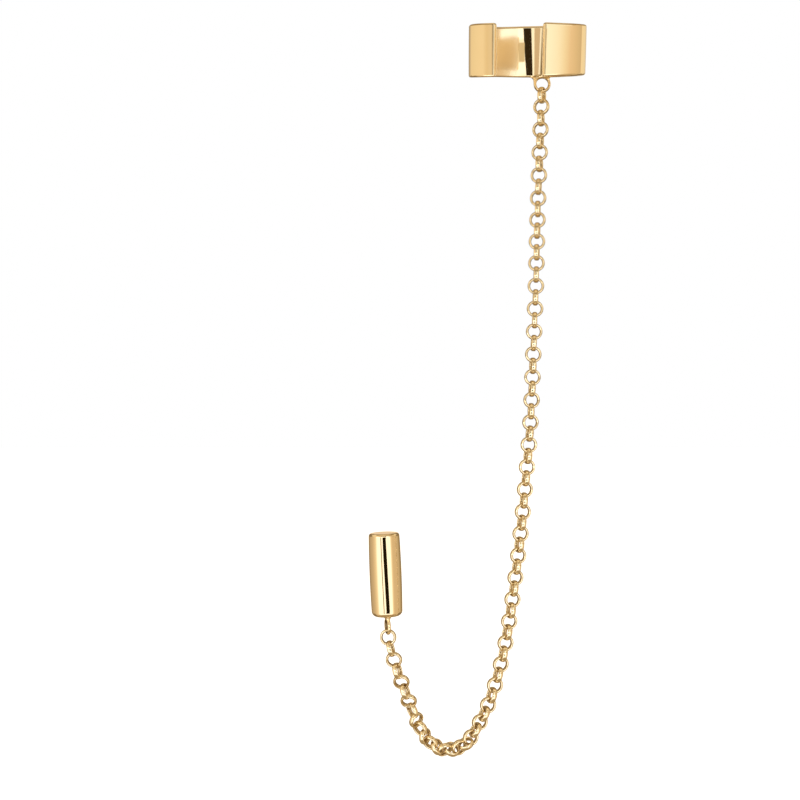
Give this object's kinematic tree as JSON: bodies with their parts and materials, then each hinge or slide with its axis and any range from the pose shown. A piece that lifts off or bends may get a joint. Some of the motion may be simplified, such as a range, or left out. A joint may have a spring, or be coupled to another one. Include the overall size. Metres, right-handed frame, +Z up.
{
  "type": "ear chain earring",
  "caption": "Ear cuff and bar stud joined by a fine belcher chain: an open C-shaped band for the rim of the ear, a hanging loop of chain and a post stud for the lobe.",
  "frame": {"origin": "the middle of the cuff's hollow, where the rim of the ear sits", "axes": "+Z is up as the earring hangs, -Y is the side that the picture shows, with the cuff's slit, and +Y is the way the stud's post points"},
  "size_m": [0.021, 0.0196, 0.0728],
  "materials": {
    "polished_gold": "gold-plated metal, mirror polished",
    "chain_gold": "gold-plated metal wire, polished"
  },
  "bodies": {
    "root": {"ear_cuff": "polished_gold", "chain_drop": "chain_gold", "chain_return": "chain_gold", "bar_stud": "polished_gold"}
  },
  "joints": []
}
